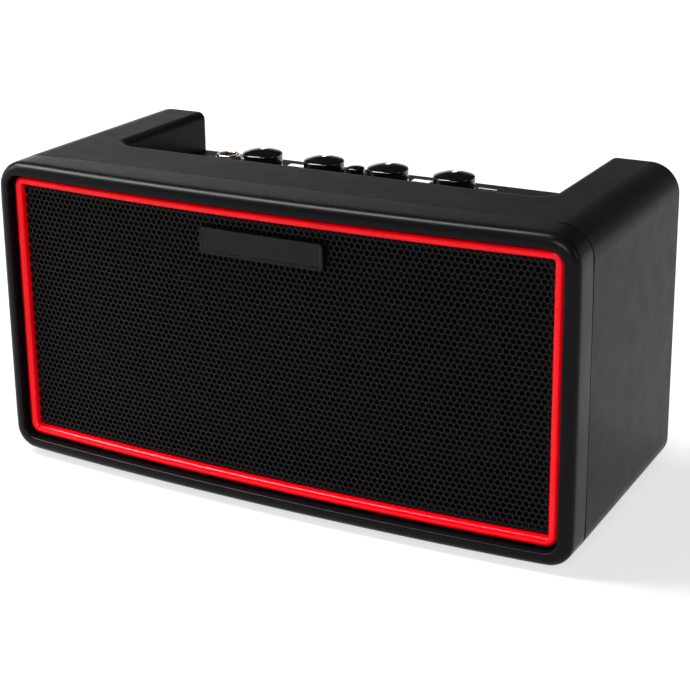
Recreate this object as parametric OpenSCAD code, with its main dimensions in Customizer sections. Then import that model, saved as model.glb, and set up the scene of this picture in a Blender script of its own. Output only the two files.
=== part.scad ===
// Small desktop stereo guitar amplifier.
// Millimetres, +Z up, front towards -Y, origin on the floor under the middle of the box.

/* [Cabinet] */
// Width of the cabinet
body_w = 230; // [214:1:280]
// Height of the cabinet without its feet
body_h = 115; // [108:1:150]
// Depth of the shell behind the seam
shell_d = 88; // [84:1:120]
// Wall thickness of the shell
wall = 3; // [2:0.5:3.5]
// Radius of the long top edges
top_r = 11; // [8:1:16]
// Radius of the long bottom edges
bottom_r = 9; // [8:1:14]
// Depth of the chamfer on each side of the seam
seam_chamfer = 0.4; // [0.2:0.1:0.8]
// Height of the rubber feet below the cabinet
foot_h = 2; // [1:0.5:4]
// Radius of the rubber feet
foot_r = 7; // [5:0.5:9]
// Inset of the feet from the cabinet's sides
foot_inset = 24; // [16:1:40]

/* [Front] */
// Depth of the front bezel at its middle
bezel_d = 18; // [17:0.5:24]
// How far the front bows forward between the ends and the middle
bow = 4.6; // [2:0.1:6]
// Width of the bezel's lip
lip_w = 5.1; // [5:0.1:9]
// Radius of the lip's outer edge
lip_r = 3.5; // [1.5:0.1:4]
// Depth of the recess that holds the trim ring and the grille
recess_d = 6.5; // [5:0.1:8]
// Gap between the lip and the trim ring
ring_gap = 0.9; // [0.5:0.1:1.5]
// Width of the trim ring
ring_w = 3.4; // [2.6:0.1:4.5]
// Height of the trim ring above the recess floor
ring_h = 3.6; // [2.4:0.1:4.5]
// Thickness of the grille sheet
grille_t = 1; // [0.6:0.1:1.5]
// Width of the flange that carries the grille's edge
grille_lap = 2.5; // [1.5:0.1:4]
// Columns of openings in the grille
grille_cols = 12; // [6:1:12]
// Rows of openings in the grille
grille_rows = 5; // [3:1:6]
// Width of the bars between the grille's openings
grille_bar = 4; // [3:0.5:6]
// Thickness of that flange
flange_t = 3; // [2:0.5:4]
// Width of the badge plate
badge_w = 49; // [30:1:80]
// Height of the badge plate
badge_h = 9.5; // [6:0.5:16]
// Thickness of the badge plate
badge_t = 2.2; // [1:0.1:2.5]
// Distance from the cabinet's top to the badge plate's top edge
badge_drop = 14; // [12:0.1:24]

/* [Speakers] */
// Distance of a speaker's axis from the cabinet's side
speaker_side = 57; // [52:1:64]
// Height of the speakers' axes above the cabinet's bottom
speaker_z = 55; // [45:1:60]
// Width of the speakers' square flanges
speaker_w = 54; // [48:0.5:60]
// Width of the flange outside the basket
basket_in = 3.2; // [3:0.1:4]
// Depth of the basket
basket_d = 16; // [14:0.5:18]
// Radius of the magnet
magnet_r = 16; // [13:0.5:18]
// Depth of the magnet
magnet_d = 11; // [8:0.5:14]
// Thickness of the baffle
baffle_t = 4; // [3:0.5:5]

/* [Control recess] */
// Width of the wing on each side of the cut-out
wing_w = 27; // [22:0.5:29]
// Depth of the shelf that stays between the seam and the cut-out
shelf_d = 27.5; // [25:0.5:36]
// Depth of the control panel below the cabinet's top
panel_drop = 16; // [14:0.5:22]
// Radius of the cut-out's rounded rim
rim_r = 3; // [1:0.5:4]
// Radius of the cut-out's front corners, seen from above
cut_r = 7.5; // [2:0.5:8]
// Thickness of the control panel
panel_t = 2.5; // [2:0.5:3]
// Distance of the row of knobs behind the seam
row_d = 66; // [62:1:68]

/* [Controls] */
// Distance between neighbouring knobs
knob_pitch = 27.6; // [24:0.1:30]
// Place of the first knob
first_knob_x = -47; // [-50:0.5:-45]
// Diameter of a knob
knob_d = 15.8; // [15:0.1:18]
// Height of a knob
knob_h = 9.2; // [8.6:0.1:12]
// Height of the dome on top of a knob
dome_h = 1.6; // [1:0.1:2.2]
// Diameter of a potentiometer's shaft
shaft_d = 6; // [5:0.1:6]
// Place of the input jack
jack_x = -65; // [-67:0.5:-64]
// How far the jack stands behind the row of knobs
jack_back = 3; // [0:0.5:5]
// Radius of the jack's bore for a 6.35 mm plug
jack_bore_r = 3.25; // [3.2:0.01:3.3]
// Radius of the jack's threaded bush
jack_bush_r = 4.5; // [4.2:0.1:4.7]
// Width across the flats of the jack's nut
jack_nut_w = 11; // [10.5:0.1:13]
// Length of the jack behind the panel
jack_l = 27; // [24:1:32]
// Radius of the push button
button_r = 3.5; // [3:0.1:4]
// Height of the push button above the panel
button_h = 7.3; // [3:0.1:9]
// Travel of the push button
button_travel = 0.8; // [0.4:0.1:1]

/* [Rear] */
// Margin between the rear panel and the cabinet's sides
rear_side = 15; // [13:0.5:16]
// Margin between the rear panel and the control panel
rear_top = 6.5; // [6:0.5:8]
// Thickness of the rear panel
rear_t = 2.5; // [2:0.5:3]
// How deep the rear panel sits in the cabinet's back
rear_sink = 3; // [2.2:0.1:4]
// Width of the ledge that carries the rear panel
rear_lap = 8; // [8:0.5:10]
// Bottom edge of the rear panel above the cabinet's bottom
rear_z = 10; // [9:0.5:11]
// Place of the bass port
port_x = -62; // [-66:1:-56]
// Inner radius of the bass port
port_r = 11; // [8:0.5:12]
// Length of the bass port
port_l = 40; // [30:1:44]
// Width of the main board
board_w = 74; // [70:1:78]
// Height of the main board
board_h = 46; // [40:1:48]
// Distance between the rear panel and the main board
board_gap = 11; // [10:0.5:12]
// Place of the power rocker
rocker_x = 76; // [74:1:78]
// Tilt of the power rocker each way
rocker_tilt = 7; // [4:1:8]

/* [Hidden] */
$fn = 64;

// Clearance of a piece in its seat
seat = 0.2;
// Depth of the feet's seats in the cabinet's bottom
foot_seat = 1;
// Clearance of a small piece against its neighbour
touch = 0.05;
// Overshoot of a cut
e = 0.5;
// Radius of the small mouldings' corners
small_r = 1;

// Places along the depth and the height
total_d = shell_d + bezel_d;
front_y = -total_d / 2;
seam_y = front_y + bezel_d;
back_y = total_d / 2;
base_z = foot_h;
top_z = foot_h + body_h;

// Front: insets are measured inwards from the cabinet's outline
bow_radius = (pow(body_w / 2, 2) + bow * bow) / (2 * bow);
ring_in = lip_w + ring_gap;
ring_r = 4.5;
lip_inner_r = 0.8;
grille_in = ring_in + ring_w + seat;
flange_in = ring_in + ring_w + grille_lap;
grille_depth = recess_d - grille_t - 0.1;
grid_in = flange_in + 3;
grid_x = body_w / 2 - grid_in;
grid_z = body_h / 2 - grid_in;
arc_steps = 6;
bow_steps = 12;
lip_steps = 5;
bead_steps = 8;

// Baffle, its bosses and its screws
boss_r = 4;
boss_l = 12;
boss_x = body_w / 2 - wall - boss_r + e;
boss_z = boss_r - e + wall;
corner_boss_z = 13;
baffle_screw_places = [
    for (x = [-boss_x, boss_x], z = [base_z + corner_boss_z, top_z - corner_boss_z]) [x, z],
    [0, base_z + boss_z], [0, top_z - boss_z]
];
post_r = 3.5;
post_in = wall + 4.5;
post_side = 75;
post_x = body_w / 2 - post_side;
bezel_post_places = [
    for (x = [-post_x, post_x], z = [base_z + post_in, top_z - post_in]) [x, z],
    for (x = [-1, 1]) [x * (body_w / 2 - post_in), (base_z + top_z) / 2]
];

// Screws
screw_r = 1.2;
screw_hole_r = screw_r + touch;
screw_head_r = 2.6;
screw_head_h = 1.5;

// Speakers, measured along their axis from the baffle's front face
speaker_x = body_w / 2 - speaker_side;
basket_r = speaker_w / 2 - basket_in;
gasket_t = 0.8;
flange_front = gasket_t + 2;
flange_r = 5;
cone_seat_r = basket_r - 1;
roll_r = 2;
cone_r = cone_seat_r - 2 * roll_r;
cone_t = 0.6;
neck_r = 7.5;
neck_z = -6;
basket_back_r = basket_r - 6.8;
basket_t = 1.5;
neck_seat = 1.2;
dust_cap_r = 10;
speaker_screw_in = 5;
basket_window = 7;

// Control recess and control panel
cut_w = body_w - 2 * wing_w;
cut_y = seam_y + shelf_d;
rim_step = 0.03;
panel_z = top_z - panel_drop;
panel_bottom = panel_z - panel_t;
ledge_w = 4;
ledge_t = 2.5;
row_y = seam_y + row_d;
jack_y = row_y + jack_back;
knob_x = [for (i = [0:3]) first_knob_x + i * knob_pitch];
button_x = (knob_x[1] + knob_x[2]) / 2;

// Potentiometers under the panel
pot_w = 9.8;
pot_h = 5.2;
pot_gap = 0.3;
pot_bush_r = shaft_d / 2 + 0.5;
pot_bush_h = 2.4;
pot_nut_w = 9;
pot_nut_h = 1.8;
board_t = 1.6;
board_top = panel_bottom - pot_gap - pot_h;
board_ahead = 9;
board_behind = 10;
board_left = 1.6;
board_right = 4;
board_front = row_y - board_ahead;
board_back = row_y + board_behind;
board_x0 = knob_x[0] - pot_w / 2 - board_left;
board_x1 = knob_x[3] + pot_w / 2 + board_right;
board_post_r = 2.2;
board_post_in = 2.6;
board_screw_l = 3.5;
board_post_places = [
    for (x = [(knob_x[0] + knob_x[1]) / 2, (knob_x[2] + knob_x[3]) / 2],
         y = [board_front + board_post_in, board_back - board_post_in]) [x, y]
];

// Knobs
knob_gap = 0.5;
knob_z = panel_z + knob_gap;
knob_hollow_h = 2.7;
knob_hollow_r = 6.2;
shaft_play = 0.06;
shaft_grip = 0.02;
shaft_z = board_top + 1;
shaft_top = knob_z + knob_h - dome_h - 0.8;
pointer_w = 1.6;
pointer_cut = 0.4;
pointer_in = 0.5;
pointer_out = 0.7;

// Push button, its plunger and its tact switch
button_play = 0.2;
button_flange = 1;
button_flange_z = panel_bottom - 0.1 - button_flange;
tact_w = 6;
plunger_r = 1.7;
tact_h = button_flange_z - board_top - button_travel - 0.3;
plunger_z = board_top + button_travel + 1.2;

// Input jack
jack_w = 15;
jack_d = 14;
jack_washer_t = 0.9;
jack_nut_h = 3.2;
jack_over = 0.8;
jack_bush_h = jack_washer_t + jack_nut_h + jack_over;
jack_floor = 2;

// Rear panel and what it carries
rear_w = body_w - 2 * rear_side;
rear_h = body_h - panel_drop - panel_t - rear_z - rear_top;
rear_r = 6;
rear_rim = 2.5;
rear_out = back_y - rear_sink;
rear_in = rear_out - rear_t;
rear_screw_in = 4.5;
rear_mid_z = base_z + rear_z + rear_h / 2;
rear_screw_places = [
    for (x = [-1, 0, 1], z = [-1, 1])
        [x * (rear_w / 2 - rear_screw_in), rear_mid_z + z * (rear_h / 2 - rear_screw_in)]
];
port_wall = 1.8;
port_flange = 2.6;
port_flange_t = 1.2;
main_y = rear_in - board_gap;
main_x = 20;
main_z = rear_mid_z + 2;
main_post_in = 3.6;
main_post_places = [
    for (x = [-1, 1], z = [-1, 1])
        [main_x + x * (board_w / 2 - main_post_in), main_z + z * (board_h / 2 - main_post_in)]
];
usb_l = 7;
tongue_t = 0.7;
tongue_in = 1.4;
tongue_back = 1;
mini_h = 8;
mini_play = 0.5;
socket_rise = 12;
socket_pitch = 18;
socket_z = main_z - board_h / 2 + socket_rise;
usb_x = main_x - socket_pitch;
aux_x = main_x;
phones_x = main_x + socket_pitch;
usb_w = 9.2;
usb_h = 3.4;
usb_wall = 0.4;
mini_bush_r = 3;
mini_bore_r = 1.8;
mini_w = 9;
mini_l = 12;

// Capacitors and heat sink on the main board
cap_r = 4;
cap_h = 9;
cap_pitch = 9.5;
cap_side = 14;
cap_drop = 7;
sink_w = 26;
sink_h = 14;
sink_t = 2;
sink_x = 2;
sink_rise = 4;
fins = 6;
fin_t = 1.2;
fin_h = 6;

// Power rocker
rocker_w = 9.6;
rocker_l = 15;
rocker_z = socket_z + 2;
rocker_play = 0.3;
rocker_wall = 1.5;
rocker_axis_y = rear_out - 0.8;
rocker_depth = 3.6;
rocker_housing_l = 13;
rocker_flange_t = 1.2;
rocker_pin_r = 0.9;

// Battery on the cabinet's floor
cell_r = 9.2;
cell_l = 66;
cell_gap = 0.5;
tray_wall = 1.5;
tray_z = base_z + wall;
tray_y = -4;
tray_h = 12;
tray_l = cell_l + 2 * tray_wall + 1;
cell_pitch = 2 * cell_r + cell_gap;
cell_y = tray_y + tray_wall + cell_r + touch;
cell_z = tray_z + tray_wall + cell_r + touch;
tray_d = cell_pitch + 2 * (cell_r + touch + tray_wall);

// Routes of the speaker leads, from the basket to the main board
lead_r = 0.8;
lead_sides = 8;
lead_pitch = 2.4;
lead_seat = 2.2;
lead_out = 4;
lead_bend = 6;
lead_rise = 3;
lead_board_x = 11;
lead_board_z = 6;

// ---- Shared shapes ----

// Upright rectangle standing on its bottom edge, with one radius on top and one below
module outline(w, h, rt, rb) {
    translate([-w / 2, rb]) square([w, h - rt - rb]);
    translate([-w / 2 + rb, 0]) square([w - 2 * rb, rb]);
    translate([-w / 2 + rt, h - rt]) square([w - 2 * rt, rt]);
    for (s = [-1, 1]) {
        translate([s * (w / 2 - rb), rb]) circle(rb);
        translate([s * (w / 2 - rt), h - rt]) circle(rt);
    }
}

// The same rectangle about its centre
module plate_outline(w, h, r) {
    translate([0, -h / 2]) outline(w, h, r, r);
}

// Extrudes an upright drawing along the depth, from y0 to y1
module along_y(y0, y1) {
    translate([0, y1, 0]) rotate([90, 0, 0]) linear_extrude(y1 - y0) children();
}

// The cabinet's outline set in by a distance, from y0 to y1
module cabinet_block(inset, y0, y1) {
    along_y(y0, y1) translate([0, base_z + inset])
        outline(body_w - 2 * inset, body_h - 2 * inset, top_r - inset, bottom_r - inset);
}

// Round pin along the depth, from y0 to y1 at a place [x, z]
module pin_y(place, r, y0, y1) {
    translate([place[0], y1, place[1]]) rotate([90, 0, 0]) cylinder(h = y1 - y0, r = r);
}

// Screw with its head on top of z = 0 and its shank below
module screw(length) {
    cylinder(h = screw_head_h, r = screw_head_r);
    translate([0, 0, -length]) cylinder(h = length + touch, r = screw_r);
}

// Hexagon nut with the given width across its flats
module nut(flats, height, hole_r) {
    difference() {
        cylinder(h = height, r = flats / 2 / cos(30), $fn = 6);
        translate([0, 0, -e]) cylinder(h = height + 2 * e, r = hole_r);
    }
}

// ---- Bowed front: closed rings of points swept through a section ----

// Setback of the bowed front at a place across the width
function bow_y(x) = bow_radius - sqrt(bow_radius * bow_radius - x * x);

// Back of the bezel's flange at a place across the width, with its clearance
function flange_back_y(x) = front_y + bow_y(x) + recess_d + flange_t + touch;

// Corner radius of a ring at an inset from the outline
function corner(r, inset) = inset < ring_in
    ? r + (ring_r - r) * inset / ring_in
    : max(ring_r - (inset - ring_in), small_r);

// One ring in the XZ plane: four arcs, with extra points along the bowed top and bottom
function ring_path(inset) =
    let(x = body_w / 2 - inset, z0 = base_z + inset, z1 = top_z - inset)
    let(rt = corner(top_r, inset), rb = corner(bottom_r, inset))
    let(c = [[x - rt, z1 - rt, rt], [rt - x, z1 - rt, rt], [rb - x, z0 + rb, rb], [x - rb, z0 + rb, rb]])
    [for (k = [0:3]) each concat(
        [for (i = [0:arc_steps]) let(a = 90 * (k + i / arc_steps))
            [c[k][0] + c[k][2] * cos(a), c[k][1] + c[k][2] * sin(a)]],
        k % 2 == 1 ? [] : [for (i = [1:bow_steps - 1])
            [c[k][0] + (c[k + 1][0] - c[k][0]) * i / bow_steps, k == 0 ? z1 : z0]]
    )];

// A ring that follows the bow at a depth behind the front, and a ring in one plane
function bowed_ring(inset, depth) = [for (p = ring_path(inset)) [p[0], front_y + bow_y(p[0]) + depth, p[1]]];
function flat_ring(inset, y) = [for (p = ring_path(inset)) [p[0], y, p[1]]];

// Closed frame through a loop of rings
module frame_through(rings) {
    n = len(rings[0]);
    m = len(rings);
    polyhedron(
        points = [for (r = rings) each r],
        faces = [for (i = [0:m - 1], j = [0:n - 1])
            let(near = i * n, far = (i + 1) % m * n, next = (j + 1) % n)
            each [[near + j, far + j, far + next], [near + j, far + next, near + next]]]
    );
}

// Solid bowed sheet between two depths, with the outline of a ring
module bowed_sheet(inset, depth, thickness) {
    r = corner(top_r, inset);
    intersection() {
        along_y(front_y - e, seam_y) translate([0, base_z + inset])
            outline(body_w - 2 * inset, body_h - 2 * inset, r, r);
        difference() {
            translate([0, front_y + depth + bow_radius, 0]) cylinder(h = top_z, r = bow_radius, $fn = 720);
            translate([0, front_y + depth + bow_radius + thickness, -e])
                cylinder(h = top_z + 2 * e, r = bow_radius, $fn = 720);
        }
    }
}

module front_bezel() color("#242427") {
    lip_round = [for (i = [0:lip_steps]) let(a = 90 * i / lip_steps)
        [lip_r * (1 - cos(a)), lip_r * (1 - sin(a))]];
    inner_round = [for (i = [0:lip_steps]) let(a = 90 * i / lip_steps)
        [lip_w - lip_inner_r * (1 - sin(a)), lip_inner_r * (1 - cos(a))]];
    flange_back = recess_d + flange_t;
    recess = [[lip_w, recess_d], [flange_in, recess_d], [flange_in, flange_back], [wall, flange_back]];
    frame_through(concat(
        [flat_ring(seam_chamfer, seam_y), flat_ring(0, seam_y - seam_chamfer)],
        [for (p = concat(lip_round, inner_round, recess)) bowed_ring(p[0], p[1])],
        [flat_ring(wall, seam_y)]
    ));
}

module trim_ring() color("#e0101c") {
    bead_r = ring_w / 2;
    bead = [for (i = [0:bead_steps]) let(a = 180 * i / bead_steps)
        [ring_in + bead_r * (1 - cos(a)), recess_d - ring_h + bead_r * (1 - sin(a))]];
    section = concat([[ring_in, recess_d - touch]], bead, [[ring_in + ring_w, recess_d - touch]]);
    frame_through([for (p = section) bowed_ring(p[0], p[1])]);
}

// Plain grid of openings, left out where the badge plate lies on the sheet
module grille_openings() {
    w = (2 * grid_x + grille_bar) / grille_cols - grille_bar;
    h = (2 * grid_z + grille_bar) / grille_rows - grille_bar;
    side = badge_w / 2 + grille_bar / 2;
    above = top_z - badge_drop + grille_bar / 2;
    below = above - badge_h - grille_bar;
    for (i = [0:grille_cols - 1], j = [0:grille_rows - 1]) {
        x = -grid_x + i * (w + grille_bar);
        z = base_z + body_h / 2 - grid_z + j * (h + grille_bar);
        if (x > side || x + w < -side || z > above || z + h < below)
            translate([x, front_y - e, z]) cube([w, seam_y - front_y, h]);
    }
}

module grille() color("#0c0c0d") difference() {
    bowed_sheet(grille_in, grille_depth, grille_t);
    grille_openings();
}

module badge_plate() color("#18181a") {
    back = front_y + grille_depth - touch;
    along_y(back - badge_t, back) translate([0, top_z - badge_drop - badge_h / 2])
        plate_outline(badge_w, badge_h, small_r);
}

// ---- Cabinet ----

// Plan of the control recess, drawn from its front wall to y1
module recess_plan(shrink, y1) {
    x = cut_w / 2 - shrink;
    y0 = cut_y + shrink;
    r = cut_r - shrink;
    translate([-x, y0 + r]) square([2 * x, y1 - y0 - r]);
    translate([-x + r, y0]) square([2 * (x - r), r]);
    for (s = [-1, 1]) translate([s * (x - r), y0 + r]) circle(r);
}

// Section of the rounded rim: what is cut off outside the recess's wall
module rim_section() {
    drop = rim_r + rim_step;
    difference() {
        translate([-e, -drop]) square([rim_r + e, drop + e]);
        translate([rim_r, -drop]) circle(rim_r);
    }
}

// Space of the control recess, with its rim rounded along three sides
module recess_space() {
    x = cut_w / 2;
    translate([0, 0, panel_bottom]) linear_extrude(top_z - panel_bottom + e) recess_plan(0, back_y + e);
    for (s = [0, 1]) mirror([s, 0, 0]) {
        along_y(cut_y + cut_r, back_y + e) translate([x, top_z]) rim_section();
        translate([x - cut_r, cut_y + cut_r, top_z]) rotate([0, 0, -90])
            rotate_extrude(angle = 90) translate([cut_r, 0]) rim_section();
    }
    translate([cut_r - x, cut_y, top_z]) rotate([90, 0, 90]) linear_extrude(2 * (x - cut_r))
        mirror([1, 0]) rim_section();
}

// Walls round the control recess and the ledge under the panel
module recess_tub() {
    x = cut_w / 2 + wall;
    z = panel_bottom - ledge_t;
    translate([-x, cut_y - wall, z]) cube([2 * x, back_y - cut_y + wall / 2, top_z - wall / 2 - z]);
}

// Opening inside the ledge
module ledge_space() {
    x = cut_w / 2 - ledge_w;
    y = cut_y + ledge_w;
    translate([-x, y, panel_bottom - ledge_t - e])
        cube([2 * x, back_y - wall - ledge_w - y, ledge_t + 2 * e]);
}

// Outline of the rear panel's seat, grown or shrunk
module rear_outline(grow) {
    translate([0, rear_mid_z]) plate_outline(rear_w + 2 * grow, rear_h + 2 * grow, rear_r + min(grow, 0) / 2);
}

module cabinet_shell() color("#1b1b1e") {
    pocket_y = rear_in;
    ledge_y = rear_in - ledge_t;
    difference() {
        union() {
            difference() {
                cabinet_block(0, seam_y, back_y);
                cabinet_block(wall, seam_y - e, back_y - wall);
            }
            recess_tub();
            along_y(ledge_y, back_y - wall / 2) rear_outline(rear_rim);
            for (p = baffle_screw_places) pin_y(p, boss_r, seam_y + baffle_t, seam_y + baffle_t + boss_l);
            for (p = rear_screw_places) pin_y(p, boss_r - e, ledge_y - boss_l / 2, ledge_y + e);
        }
        recess_space();
        ledge_space();
        along_y(pocket_y, back_y + e) rear_outline(0);
        along_y(ledge_y - e, back_y) rear_outline(-rear_lap);
        for (p = baffle_screw_places) pin_y(p, screw_hole_r, seam_y, seam_y + baffle_t + boss_l);
        for (p = rear_screw_places) pin_y(p, screw_hole_r, ledge_y - boss_l / 2 - e, back_y);
        foot_places() translate([0, 0, base_z - e]) cylinder(h = e + foot_seat, r = foot_r + touch);
    }
}

// ---- Feet ----

module foot_places() {
    x = body_w / 2 - foot_inset;
    for (sx = [-x, x], y = [seam_y + foot_inset / 2, back_y - foot_inset / 2])
        translate([sx, y, 0]) children();
}

module feet() color("#101010") foot_places() cylinder(h = base_z + foot_seat, r = foot_r);

// ---- Baffle and speakers ----

// Places a speaker's own frame: +Z out of the baffle towards the listener
module at_speaker(side) {
    translate([side * speaker_x, seam_y, base_z + speaker_z]) rotate([90, 0, 0]) children();
}

module speaker_screw_places() {
    d = speaker_w / 2 - speaker_screw_in;
    for (x = [-d, d], y = [-d, d]) translate([x, y, 0]) children();
}

module baffle() color("#2b2b2b") {
    inset = wall + seat;
    difference() {
        union() {
            cabinet_block(inset, seam_y, seam_y + baffle_t);
            for (p = bezel_post_places)
                pin_y(p, post_r, flange_back_y(abs(p[0]) + post_r) + touch, seam_y + e);
        }
        for (side = [-1, 1]) at_speaker(side) {
            translate([0, 0, -baffle_t - e]) cylinder(h = baffle_t + 2 * e, r = basket_r + seat);
            speaker_screw_places() translate([0, 0, -baffle_t - e])
                cylinder(h = baffle_t + 2 * e, r = screw_hole_r);
        }
        for (p = baffle_screw_places) pin_y(p, screw_hole_r, seam_y - e, seam_y + baffle_t + e);
    }
}

module baffle_screws() color("#3a3a3c") for (p = baffle_screw_places)
    translate([p[0], seam_y - touch, p[1]]) rotate([90, 0, 0]) screw(baffle_t + boss_l - 2);

module speaker_gaskets() color("#161616") for (side = [-1, 1]) at_speaker(side)
    linear_extrude(gasket_t) difference() {
        plate_outline(speaker_w, speaker_w, flange_r);
        circle(basket_r + seat);
        speaker_screw_places() circle(screw_hole_r);
    }

module speaker_frame(side) color("#3c3f42") at_speaker(side) difference() {
    union() {
        translate([0, 0, gasket_t]) linear_extrude(flange_front - gasket_t) difference() {
            plate_outline(speaker_w, speaker_w, flange_r);
            circle(cone_seat_r);
            speaker_screw_places() circle(screw_hole_r);
        }
        rotate_extrude() polygon([
            [cone_seat_r, gasket_t + e], [basket_r, gasket_t + e], [basket_r, -baffle_t - e],
            [basket_back_r, basket_t - basket_d], [basket_back_r, -basket_d], [neck_r + neck_seat, -basket_d],
            [neck_r + neck_seat, basket_t - basket_d], [basket_back_r - basket_t, basket_t - basket_d],
            [cone_seat_r, -baffle_t]
        ]);
    }
    for (a = [45:90:315]) rotate([0, 0, a])
        translate([basket_back_r - 4, -basket_window, 2 * basket_t - basket_d])
            cube([basket_r, 2 * basket_window, basket_d - baffle_t - 2 * basket_t - 1]);
}

module speaker_cone(side) color("#0e0e10") at_speaker(side) rotate_extrude() {
    seat_z = flange_front + touch;
    translate([cone_seat_r - cone_t / 2, seat_z]) square([2, cone_t]);
    translate([cone_seat_r - roll_r, seat_z]) intersection() {
        difference() {
            circle(roll_r + cone_t / 2);
            circle(roll_r - cone_t / 2);
        }
        translate([-2 * roll_r, 0]) square([4 * roll_r, 2 * roll_r]);
    }
    polygon([[neck_r, neck_z], [cone_r + cone_t / 2, seat_z], [cone_r + cone_t / 2, seat_z + cone_t],
        [neck_r, neck_z + 1.5 * cone_t]]);
    intersection() {
        translate([0, neck_z - 6]) difference() {
            circle(dust_cap_r);
            circle(dust_cap_r - cone_t);
        }
        translate([0, neck_z]) square([neck_r + cone_t, dust_cap_r]);
    }
    translate([neck_r - cone_t / 2, -basket_d - 1.5]) square([cone_t, basket_d + 2 + neck_z]);
}

module speaker_magnet(side) color("#6a6c70") at_speaker(side) translate([0, 0, -basket_d - magnet_d - touch])
    difference() {
        union() {
            cylinder(h = magnet_d, r = magnet_r - 1);
            translate([0, 0, 2]) cylinder(h = magnet_d - 4, r = magnet_r);
        }
        translate([0, 0, magnet_d - 3]) difference() {
            cylinder(h = 3 + e, r = neck_r + 1);
            translate([0, 0, -e]) cylinder(h = 4 + e, r = neck_r - 1);
        }
    }

module speaker_screws() color("#3a3a3c") for (side = [-1, 1]) at_speaker(side)
    speaker_screw_places() translate([0, 0, flange_front + touch]) screw(flange_front + baffle_t - 1);

// Route of one conductor from a speaker's basket to the main board's front
function lead_route(side, lift) =
    let(a_x = speaker_x - basket_r + lead_seat, b_y = main_y - board_t - touch)
    let(a = [side * a_x, seam_y + baffle_t + lead_out, base_z + speaker_z + lift])
    let(b = [side * lead_board_x, b_y, main_z + lead_board_z + lift])
    [a, a + [-lead_rise * side, lead_out, 0], (a + b) / 2 + [0, 0, lead_rise], b - [0, lead_bend, 0], b];

// Round lead through a list of points
module lead(route) {
    last = len(route) - 1;
    rings = [for (i = [0:last])
        let(way = route[min(i + 1, last)] - route[max(i - 1, 0)])
        let(dir = way / norm(way))
        let(across = cross(dir, [0, 0, 1]))
        let(u = across / norm(across), v = cross(dir, u))
        [for (k = [0:lead_sides - 1]) let(a = 360 * k / lead_sides)
            route[i] + lead_r * (cos(a) * u + sin(a) * v)]];
    polyhedron(
        points = [for (r = rings) each r],
        faces = concat(
            [[for (k = [0:lead_sides - 1]) k], [for (k = [lead_sides - 1:-1:0]) last * lead_sides + k]],
            [for (i = [0:last - 1], k = [0:lead_sides - 1])
                let(near = i * lead_sides, far = near + lead_sides, next = (k + 1) % lead_sides)
                each [[near + k, far + k, far + next], [near + k, far + next, near + next]]]
        )
    );
}

module speaker_leads() color("#8a1a1a") for (side = [-1, 1], lift = [0, lead_pitch])
    lead(lead_route(side, lift));

// ---- Control panel and what hangs under it ----

module control_panel() color("#1a1a1c") difference() {
    union() {
        translate([0, 0, panel_bottom]) linear_extrude(panel_t) recess_plan(seat, back_y);
        for (p = board_post_places) translate([p[0], p[1], board_top])
            cylinder(h = panel_bottom - board_top + e, r = board_post_r);
    }
    for (x = knob_x) translate([x, row_y, panel_bottom - e])
        cylinder(h = panel_t + 2 * e, r = pot_bush_r + touch);
    translate([jack_x, jack_y, panel_bottom - e]) cylinder(h = panel_t + 2 * e, r = jack_bush_r + touch);
    translate([button_x, row_y, panel_bottom - e]) cylinder(h = panel_t + 2 * e, r = button_r + button_play);
    for (p = board_post_places) translate([p[0], p[1], board_top - e])
        cylinder(h = panel_bottom - board_top + e, r = screw_hole_r);
}

module control_board() color("#14532d") difference() {
    translate([board_x0, board_front, board_top - board_t])
        cube([board_x1 - board_x0, board_back - board_front, board_t]);
    for (p = board_post_places) translate([p[0], p[1], board_top - board_t - e])
        cylinder(h = board_t + 2 * e, r = screw_hole_r);
}

module control_board_screws() color("#3a3a3c") for (p = board_post_places)
    translate([p[0], p[1], board_top - board_t - touch]) mirror([0, 0, 1]) screw(board_t + board_screw_l);

module potentiometers() color("#8d9094") for (x = knob_x) translate([x, row_y, 0]) difference() {
    union() {
        translate([-pot_w / 2, -pot_w / 2, board_top]) cube([pot_w, pot_w, pot_h]);
        translate([0, 0, board_top + 1]) cylinder(h = panel_z + pot_bush_h - board_top - 1, r = pot_bush_r);
    }
    translate([0, 0, shaft_z - 0.2]) cylinder(h = knob_h + panel_z - board_top, r = shaft_d / 2 + shaft_play);
}

module potentiometer_nuts() color("#9a9da1") for (x = knob_x) translate([x, row_y, panel_z])
    nut(pot_nut_w, pot_nut_h, pot_bush_r + touch);

module knob(i) color("#161618") translate([knob_x[i], row_y, knob_z]) {
    r = knob_d / 2;
    dome_r = (r * r + dome_h * dome_h) / (2 * dome_h);
    difference() {
        intersection() {
            cylinder(h = knob_h, r = r);
            translate([0, 0, knob_h - dome_r]) sphere(r = dome_r, $fn = 128);
        }
        translate([0, 0, -e]) cylinder(h = knob_hollow_h + e, r = knob_hollow_r);
        translate([0, 0, -e]) cylinder(h = shaft_top - knob_z + e + touch, r = shaft_d / 2 + shaft_grip);
        difference() {
            translate([-pointer_w / 2, -pointer_in, knob_h - dome_h - pointer_cut])
                cube([pointer_w, r - pointer_out + pointer_in, dome_h + pointer_cut + e]);
            translate([0, 0, knob_h - dome_r]) sphere(r = dome_r - pointer_cut, $fn = 128);
        }
    }
}

module shaft(i) color("#b9bbbe") translate([knob_x[i], row_y, shaft_z])
    cylinder(h = shaft_top - shaft_z, r = shaft_d / 2);

module select_button() color("#1d1d1f") translate([button_x, row_y, 0]) {
    dome_h = 0.6;
    dome_r = (button_r * button_r + dome_h * dome_h) / (2 * dome_h);
    intersection() {
        translate([0, 0, button_flange_z]) cylinder(h = panel_z + button_h - button_flange_z, r = button_r);
        translate([0, 0, panel_z + button_h - dome_r]) sphere(r = dome_r, $fn = 128);
    }
    translate([0, 0, button_flange_z]) cylinder(h = button_flange, r = button_r + 1.2);
}

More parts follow.
